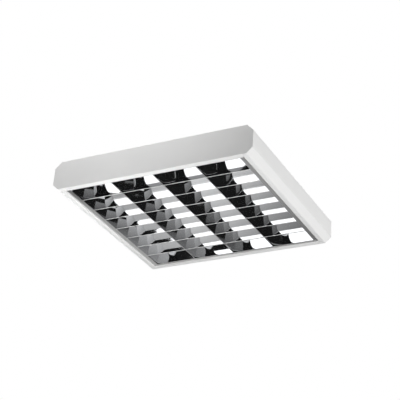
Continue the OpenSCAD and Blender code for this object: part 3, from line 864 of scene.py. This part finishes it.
def make_lampholders():
    """Moulded lampholders: a round head with a bore, a stem, and a starter socket if near."""
    back, face = HOLDER_BACK, HOLDER_FACE
    made = {}
    for side in (0, -1):
        x, sx = LAMP_XS[0], LAMP_XS[0] + side * STARTER_SIDE
        outline = [(x + STEM_HW, STEM_TOP), (x - STEM_HW, STEM_TOP)]
        if side:
            outline.append((x - STEM_HW, STARTER_Z + 0.007))
            outline += arc(SOCKET_R, sx, STARTER_Z, *SOCKET_TURN)
        outline += arc(HOLDER_R, x, LAMP_Z, *HEAD_TURN[side])
        body = pulled_bar("lampholder_moulding", set_y(outline, back), (0, face - back, 0))
        eased(body, 0.0006, lambda p: p.y > face - TOUCH)
        bore = plugs([(x, LAMP_Z)], ROTOR_R + HOLE_EASE, face - 0.0084, face + 0.004, along_z=False)
        slot = block("slot", (x - PIN_SLOT_HW, face - 0.0072, LAMP_Z - 0.02),
                     (x + PIN_SLOT_HW, face + 0.004, LAMP_Z))
        tools = [bore, slot]
        if side:
            groove = [(0.00385, face - 0.0065), (0.00885, face - 0.0065), (0.00885, face + 0.002),
                      (0.00385, face + 0.002), (0.00385, face - 0.0065)]
            tools.append(turned("groove", groove, (sx, 0, STARTER_Z)))
        made[side] = cut_by(body, tools)
    mirrored = copied(made[-1], "lampholder_moulding", flip=(True, False, False))
    for i, x in enumerate(LAMP_XS, 1):
        source, from_x = (made[-1], LAMP_XS[0]) if i < 3 else (mirrored, LAMP_XS[3])
        near = copied(source, f"lampholder_moulding_near_{i}", (x - from_x, 0, 0))
        far = copied(made[0], f"lampholder_moulding_far_{i}", (x - LAMP_XS[0], 0, 0),
                     flip=(False, True, False))
        for piece, end in ((near, "near"), (far, "far")):
            dressed(smooth(piece), "housing", HOLDER, f"lampholder_{end}_{i}")
    for piece in (made[0], made[-1], mirrored):
        bpy.data.objects.remove(piece)


def spread(first, name, material, node):
    """Copies one lamp's piece to all four lamps."""
    for i, x in enumerate(LAMP_XS, 1):
        piece = copied(first, f"{name}_{i}", (x - LAMP_XS[0], 0, 0))
        dressed(piece, f"lamp_{i}", material, f"{node}_{i}")
    bpy.data.objects.remove(first)


def make_rotors():
    """Slotted rotors that turn with the pins of each lamp."""
    x, face, back = LAMP_XS[0], HOLDER_FACE, HOLDER_FACE - 0.0082
    profile = [(0, face), (0.0052, face), (0.0056, face - 0.0004), (0.0078, face - 0.0004),
               (0.0081, face), (0.0085, face), (ROTOR_R, face - 0.0003), (ROTOR_R, back), (0, back)]
    near = turned("rotor_moulding", profile, (x, 0, LAMP_Z))
    cut_by(near, [block("slot", (x - 0.02, face - 0.0068, LAMP_Z - PIN_SLOT_HW),
                        (x + 0.02, face + 0.002, LAMP_Z + PIN_SLOT_HW))])
    first = joined([smooth(near), turned_over(near, "rotor_moulding_far")])
    spread(first, "rotor_mouldings", HOLDER, "rotors")


def pins(profile, x, z):
    """The two pins of a lamp cap or of a starter."""
    return [turned("pin", profile, (x + s * PIN_SIDE, 0, z), steps=24) for s in (-1, 1)]


def make_lamps():
    """Lamps: a lined glass tube with a crimped cap, insulating disc and two pins at each end."""
    x, hl = LAMP_XS[0], 0.2934
    wall = [(0.0118, -hl), (0.0124, -hl), (0.0126, 0.0002 - hl), (0.0126, hl - 0.0002),
            (0.0124, hl), (0.0118, hl), (0.0118, -hl)]
    tube = smooth(turned("glass_tube", wall, (x, 0, LAMP_Z), steps=64))
    spread(tube, "glass_tube", PHOSPHOR, "lamp_tube")
    skin = [(0, -0.295), (0.0088, -0.295), (0.0092, -0.2946), (0.0097, -0.2946), (0.0101, -0.295),
            (0.0121, -0.295), (0.0127, -0.2948), (0.013, -0.2941), (0.013, -0.2862),
            (0.0128, -0.286), (0.0128, -0.2852), (0.013, -0.285), (0.013, -0.2832),
            (0.01285, -0.283), (0.01263, -0.283), (0.01263, -0.2942), (0, -0.2942)]
    pin = [(0, -0.302), (0.0008, -0.3019), (0.0011, -0.3016), (0.0012, -0.3012), (0.0012, -0.2946),
           (0, -0.2946)]
    cap = turned("lamp_cap", skin, (x, 0, LAMP_Z), steps=64)
    near = smooth(joined([cap] + pins(pin, x, LAMP_Z)))
    first = joined([near, turned_over(near, "lamp_cap_far")])
    spread(first, "lamp_cap_pair", CAP, "lamp_caps")


def make_starters():
    """Starters: a moulded can with a tapered grip and two mushroom pins."""
    x = LAMP_XS[0] - STARTER_SIDE
    can = [(0, -0.2952), (0.0102, -0.2952), (0.01075, -0.2947), (0.01075, -0.2922),
           (0.0105, -0.292), (0.0105, -0.2708), (0.01075, -0.2706), (0.01075, -0.2684),
           (0.0105, -0.2682), (0.0074, -0.2597), (0.0066, -0.2592), (0, -0.2592)]
    body = turned("starter_can", can, (x, 0, STARTER_Z))
    z, thin, wide = STARTER_Z, 0.0028, 0.012
    cut_by(body, [block("notch", (x + low, GRIP_Y, z - wide), (x + high, -0.258, z + wide))
                  for low, high in ((-wide, -thin), (thin, wide))])
    eased(body, 0.0003, lambda p: p.y > GRIP_Y - TOUCH)
    pin = [(0, -0.3012), (0.0016, -0.3012), (0.002, -0.3008), (0.002, -0.2996), (0.0013, -0.2992),
           (0.0013, -0.2946), (0, -0.2946)]
    first = smooth(joined([body] + pins(pin, x, STARTER_Z)))
    for i, lamp_x in enumerate(LAMP_XS, 1):
        place = lamp_x + (-STARTER_SIDE if i < 3 else STARTER_SIDE)
        piece = copied(first, f"starter_can_{i}", (place - x, 0, 0))
        dressed(piece, f"starter_{i}", STARTER, f"starter_{i}")
    bpy.data.objects.remove(first)


# ---- control gear ----


def make_gear_cover():
    """Folded channel over the ballasts, with a flange along each side."""
    outline = rounded(both([(0.054, -0.0018), (0.042, -0.0018), (0.033, -0.037)]), BEND_R)
    cover = pulled_sheet("gear_channel", set_y(outline, -COVER_HL), (0, 2 * COVER_HL, 0))
    thickened(facing(cover, (0, 0, -1)), SHEET)
    cut_by(cover, [roof_holes(COVER_SCREWS)])
    dressed(smooth(cover), "housing", COAT, "gear_cover")


def make_ballasts():
    """Ballasts: a long drawn case with pressed panels, on a foot that reaches past its ends."""
    half = [(BALLAST_HW, GEAR_TOP), (BALLAST_HW, -0.023875), (0.015375, -0.029)]
    low, high = BALLAST_Y
    case = pulled_bar("ballast_case_near", set_y(both(half), low), (0, high - low, 0))
    only(case)
    enter("EDIT")
    bpy.ops.mesh.select_all(action="DESELECT")
    enter("OBJECT")
    for face in case.data.polygons:
        face.select = abs(face.normal.y) < 0.1 and face.normal.z < 0.1
    enter("EDIT")
    bpy.ops.mesh.select_mode(type="FACE")
    bpy.ops.mesh.inset(thickness=0.0035, depth=0, use_individual=True)
    bpy.ops.mesh.inset(thickness=0.0006, depth=-0.0006, use_individual=True)
    enter("OBJECT")
    eased(case, 0.0004)
    foot = block("foot", (-BALLAST_HW, FOOT_Y[0], -0.0022), (BALLAST_HW, FOOT_Y[1], GEAR_TOP))
    cut_by(foot, [roof_holes([p for p in FOOT_SCREWS if p[1] < 0])])
    eased(foot, 0.00025)
    near = joined([case, foot])
    far = copied(near, "ballast_case_far")
    only(far)
    bpy.ops.transform.rotate(value=math.pi, orient_axis="Z", center_override=(0, 0, 0))
    bpy.ops.object.transform_apply()
    dressed(smooth(near), "housing", CASE, "ballast_near")
    dressed(smooth(far), "housing", CASE, "ballast_far")


def make_capacitor():
    """Capacitor can with a rolled rim, a sealing disc and two contact tags, in its spring clip."""
    z = CAPACITOR_Z
    can = [(0, -0.059), (0.0112, -0.059), (0.0121, -0.0586), (0.0125, -0.0578), (0.0125, 0.0016),
           (0.0122, 0.0018), (0.0122, 0.0022), (0.0125, 0.0024), (0.0125, 0.003), (0.0116, 0.003),
           (0.0115, 0.0046), (0.0111, 0.005), (0, 0.005)]
    tags = []
    for x in (-0.005, 0.005):
        tag = block("tag", (x - 0.0006, 0.0046, z - 0.0025), (x + 0.0006, 0.007, z + 0.0025))
        tags.append(eased(tag, 0.0002))
    body = joined([turned("capacitor_can", can, (0, 0, z))] + tags)
    dressed(smooth(body), "housing", CAN, "capacitor")
    band = [(0.01255, -0.033), (0.0133, -0.033), (0.01355, -0.0328), (0.01355, -0.0232),
            (0.0133, -0.023), (0.01255, -0.023), (0.01255, -0.033)]
    foot = eased(block("foot", (-0.0125, -0.033, -0.002), (0.0125, -0.023, GEAR_TOP)), 0.0002)
    clip = joined([turned("capacitor_band", band, (0, 0, z)), foot])
    dressed(smooth(clip), "housing", ZINC, "capacitor_clip")


def make_terminal_block():
    """Five pole terminal block with wire holes, screw wells and grooves between the poles."""
    outline = [(0.012, GEAR_TOP), (0.012, -0.0125), (0.0135, -0.014), (0.0135, -0.019),
               (0.0265, -0.019), (0.0265, -0.014), (0.028, -0.0125), (0.028, GEAR_TOP)]
    body = pulled_bar("terminal_strip", set_x(outline, -TERMINAL_HW), (2 * TERMINAL_HW, 0, 0))
    poles = [-0.016 + 0.008 * i for i in range(5)]
    grooves = [block("groove", (x - 0.0004, 0.01, -0.021), (x + 0.0004, 0.03, -0.0135))
               for x in (-0.012, -0.004, 0.004, 0.012)]
    wire_holes = plugs([(x, -0.01) for x in poles], 0.002, 0.005, 0.035, along_z=False)
    wells = plugs([(x, 0.02) for x in poles], 0.002, -0.03, -0.0105)
    cut_by(body, [joined(grooves), wire_holes, wells])
    dressed(eased(body, 0.00025, angle=50), "housing", HOLDER, "terminal_block")


def make_bush():
    """Rubber bush in the roof for the mains cable."""
    wall = [(0.006, -0.0004), (0.0062, -0.0002), (0.0078, -0.0002), (0.008, -0.0004),
            (0.008, -0.001), (0.0106, -0.001), (0.011, -0.0014), (0.011, -0.0025),
            (0.0105, -0.003), (0.0084, -0.0031), (0.008, -0.0035), (0.0078, -0.0058),
            (0.0076, -0.006), (0.0062, -0.006), (0.006, -0.0058), (0.006, -0.0004)]
    bush = turned("rubber_cable_bush", wall, (0, BUSH_Y, 0), upright=True)
    dressed(smooth(bush), "housing", RUBBER, "cable_bush")


# ---- hinge and catch ----


def make_hinges():
    """Angle brackets on the end lips, and headed pins through the louvre's tabs into them."""
    line = rounded([(-0.2916, -0.084), (-0.2916, -0.096), (-0.2996, -0.096)], 0.0018)
    near = pulled_sheet("hinge_angle_near", set_x(line, PIN_X - 0.005), (0.01, 0, 0))
    thickened(facing(near, (0, 0, -1)), 0.0015)
    cut_by(near, [plugs([(PIN_X, PIN_Z)], PIN_R + HOLE_EASE, -0.31, -0.28, along_z=False)])
    eased(near, 0.0002, angle=50)
    both_ends(near, "hinge_angle_far", "housing", ZINC, "hinge_bracket")
    pin = [(0, -0.2933), (0.0012, -0.2933), (PIN_R, -0.293), (PIN_R, -0.2877), (0.0026, -0.2877),
           (0.0026, -0.2869), (0.0022, -0.2865), (0, -0.2865)]
    first = smooth(turned("hinge_pin_pair", pin, (PIN_X, 0, PIN_Z), steps=32))
    pair = joined([first, turned_over(first, "hinge_pin_far")])
    dressed(pair, "louvre", ZINC, "hinge_pins")


def make_catches():
    """Leaf springs on the end lips that bear on the louvre's end tabs."""
    line = rounded([(-0.2996, -0.096), (-0.2921, -0.096), (-0.2921, -0.0895), (-0.2892, -0.0885),
                    (-0.2921, -0.082)], 0.0007)
    near = pulled_sheet("catch_leaf_near", set_x(line, -PIN_X - 0.006), (0.012, 0, 0))
    thickened(facing(near, (0, 1, 0)), 0.0005)
    eased(near, 0.00012, angle=60)
    both_ends(near, "catch_leaf_far", "housing", ZINC, "catch_spring")


# ---- studio ----


# Cards round the mirrors: middle, width, height, turn about z in degrees,
# brightness from one end to the other, and the share of it that is left at the top
ROOM_CARDS = {
    "near_window_card": ((-0.505, -1.1, -0.975), 0.57, 0.73, 0, (1.7, 1.7), 1),
    "near_side_card": ((-0.87, -1.1, -0.765), 0.16, 0.19, 0, (1.7, 1.7), 1),
    "near_grey_card": ((-0.585, -1.1, -0.555), 0.73, 0.11, 0, (0.33, 0.33), 1),
    "left_window_card": ((-0.5, -0.5, -0.34), 0.3, 0.12, 90, (1.7, 1.7), 1),
    "left_grey_card": ((-0.5, 0.29, -0.38), 0.42, 0.46, 90, (0.5, 0.6), 0.7),
    "far_grey_card": ((-0.095, 0.5, -0.36), 0.81, 0.48, 0,
                      (0.62, 0.82, 0.7, 0.46, 0.26, 0.12), 0.6),
}
ROOM_R = 1.5
ROOM_H = 1.6
FLOOR_Z = -4.5
FLOOR_SIZE = 30
FLOOR_GLOW = 0.7
FILL = 0.1


def card_paint(name, width, height, shades, top):
    """Light that changes along the width of a card and fades towards its top."""
    paint = bpy.data.materials.new(name + "_paint")
    paint.use_nodes = True
    tree = paint.node_tree
    tree.nodes.clear()
    out = tree.nodes.new("ShaderNodeOutputMaterial")
    glow = tree.nodes.new("ShaderNodeEmission")
    place = tree.nodes.new("ShaderNodeTexCoord")
    split = tree.nodes.new("ShaderNodeSeparateXYZ")
    ramp = tree.nodes.new("ShaderNodeValToRGB")
    while len(ramp.color_ramp.elements) < len(shades):
        ramp.color_ramp.elements.new(0.5)
    for i, (stop, shade) in enumerate(zip(ramp.color_ramp.elements, shades)):
        stop.position = i / (len(shades) - 1)
        stop.color = (shade, shade, shade, 1)
    link = tree.links.new
    link(place.outputs["Object"], split.inputs["Vector"])
    link(stretched(tree, split.outputs["X"], -width / 2, width / 2), ramp.inputs["Fac"])
    fade = stretched(tree, split.outputs["Y"], -height / 2, height / 2, 1, top)
    link(fade, glow.inputs["Strength"])
    link(ramp.outputs["Color"], glow.inputs["Color"])
    link(glow.outputs["Emission"], out.inputs["Surface"])
    return paint


def mirrors_only(card):
    """Keeps a card out of sight of everything but the mirrors."""
    card.visible_camera = card.visible_diffuse = False
    card.visible_shadow = card.visible_transmission = False


def make_room():
    """Light and dark cards round the fixture that only its mirrors see."""
    bpy.ops.object.select_all(action="DESELECT")
    bpy.ops.mesh.primitive_cylinder_add(vertices=64, radius=ROOM_R, depth=ROOM_H,
                                        end_fill_type="NOTHING", location=(0, 0, -0.85))
    wall = bpy.context.object
    wall.name = "dark_room_wall"
    wall.data.materials.append(card_paint(wall.name, 2 * ROOM_R, ROOM_H, (0.012, 0.008, 0.014), 1))
    mirrors_only(wall)
    for name, (middle, width, height, turn, shades, top) in ROOM_CARDS.items():
        bpy.ops.object.select_all(action="DESELECT")
        upright = (math.pi / 2, 0, math.radians(turn))
        bpy.ops.mesh.primitive_plane_add(size=1, location=middle, rotation=upright)
        card = bpy.context.object
        card.name = name
        card.scale = (width, height, 1)
        bpy.ops.object.transform_apply(location=False, rotation=False, scale=True)
        card.data.materials.append(card_paint(name, width, height, shades, top))
        mirrors_only(card)


def ray_is(tree, *kinds):
    """1 for a ray of any of these kinds, else 0."""
    path = tree.nodes.new("ShaderNodeLightPath")
    found = path.outputs[f"Is {kinds[0]} Ray"]
    for kind in kinds[1:]:
        either = tree.nodes.new("ShaderNodeMath")
        either.operation = "MAXIMUM"
        tree.links.new(found, either.inputs[0])
        tree.links.new(path.outputs[f"Is {kind} Ray"], either.inputs[1])
        found = either.outputs["Value"]
    return found


def make_floor():
    """Pale floor far below the fixture, near white to the camera and the mirrors."""
    bpy.ops.object.select_all(action="DESELECT")
    bpy.ops.mesh.primitive_plane_add(size=FLOOR_SIZE, location=(0, 0, FLOOR_Z))
    floor = bpy.context.object
    floor.name = "studio_floor"
    paint = plain_surface("pale_floor", (0.9, 0.9, 0.9), 0.8)
    tinted(paint, pattern(paint, 2, 2), (0.89, 0.89, 0.89), (0.91, 0.91, 0.91))
    tree = paint.node_tree
    glow = tree.nodes.new("ShaderNodeEmission")
    mix = tree.nodes.new("ShaderNodeMixShader")
    share = tree.nodes.new("ShaderNodeMath")
    share.operation = "MULTIPLY"
    share.inputs[1].default_value = FLOOR_GLOW
    link = tree.links.new
    link(ray_is(tree, "Camera", "Glossy"), share.inputs[0])
    link(share.outputs["Value"], mix.inputs["Fac"])
    link(tree.nodes["Principled BSDF"].outputs["BSDF"], mix.inputs[1])
    link(glow.outputs["Emission"], mix.inputs[2])
    link(mix.outputs["Shader"], tree.nodes["Material Output"].inputs["Surface"])
    floor.data.materials.append(paint)


def make_world():
    """White all round for the camera and the mirrors, softer where it lights the object."""
    world = bpy.data.worlds.new("studio_world")
    bpy.context.scene.world = world
    world.use_nodes = True
    tree = world.node_tree
    tree.nodes.clear()
    out = tree.nodes.new("ShaderNodeOutputWorld")
    mix = tree.nodes.new("ShaderNodeMixShader")
    link = tree.links.new
    link(ray_is(tree, "Camera", "Glossy", "Transmission"), mix.inputs["Fac"])
    for socket, strength in ((1, FILL), (2, 1)):
        light = tree.nodes.new("ShaderNodeBackground")
        light.inputs["Color"].default_value = (1, 1, 1, 1)
        light.inputs["Strength"].default_value = strength
        link(light.outputs["Background"], mix.inputs[socket])
    link(mix.outputs["Shader"], out.inputs["Surface"])


def soft_lamp(name, place, target, size, power):
    """A soft square studio light that only lights, and isn't seen."""
    data = bpy.data.lights.new(name, "AREA")
    data.shape = "SQUARE"
    data.size = size
    data.energy = power
    made = bpy.data.objects.new(name, data)
    bpy.context.scene.collection.objects.link(made)
    made.location = place
    made.rotation_euler = (Vector(target) - Vector(place)).to_track_quat("-Z", "Y").to_euler()
    made.visible_camera = made.visible_glossy = False


def make_camera():
    """The photograph's view: from below, off the near right corner."""
    eye = Vector((1.6733, -3.0111, -1.8601))
    ahead = Vector((-0.42658, 0.77379, 0.46826)).normalized()
    up = Vector((0.15759, -0.44622, 0.88094))
    right = ahead.cross(up).normalized()
    up = right.cross(ahead)
    data = bpy.data.cameras.new("camera")
    data.lens = 108.932
    data.sensor_width = 36
    data.clip_end = 50
    made = bpy.data.objects.new("camera", data)
    bpy.context.scene.collection.objects.link(made)
    turn = Matrix((right, up, -ahead)).transposed().to_4x4()
    made.matrix_world = Matrix.Translation(eye) @ turn
    bpy.context.scene.camera = made


def make_studio():
    """Floor, world, lamps and the cards that the mirrors see."""
    make_floor()
    make_world()
    soft_lamp("low_light", (-0.22, -0.36, -0.77), (-0.2, -0.2, 0), 0.3, 3.2)
    soft_lamp("right_light", (3.3, 0.1, -2.1), (0, 0, 0), 1.5, 118)
    soft_lamp("front_light", (-0.12, -1.0, 0.45), (-0.1, -0.3, 0), 0.4, 5.5)
    soft_lamp("back_light", (-1.25, 1.2, 0.25), (0, 0, 0), 0.8, 23)
    soft_lamp("top_light", (-0.2, 0.25, 1.65), (0, 0, 0), 1.0, 9.5)
    make_room()
    bpy.context.scene.view_settings.view_transform = "Standard"


make_camera()
dress_nodes()
make_tray()
make_end_plates()
make_holder_rails()
make_screws()
make_lampholders()
make_rotors()
make_lamps()
make_starters()
make_gear_cover()
make_ballasts()
make_capacitor()
make_terminal_block()
make_bush()
make_hinges()
make_catches()
make_dividers()
make_cross_blades()
make_side_reflectors()
make_end_reflectors()
make_studio()
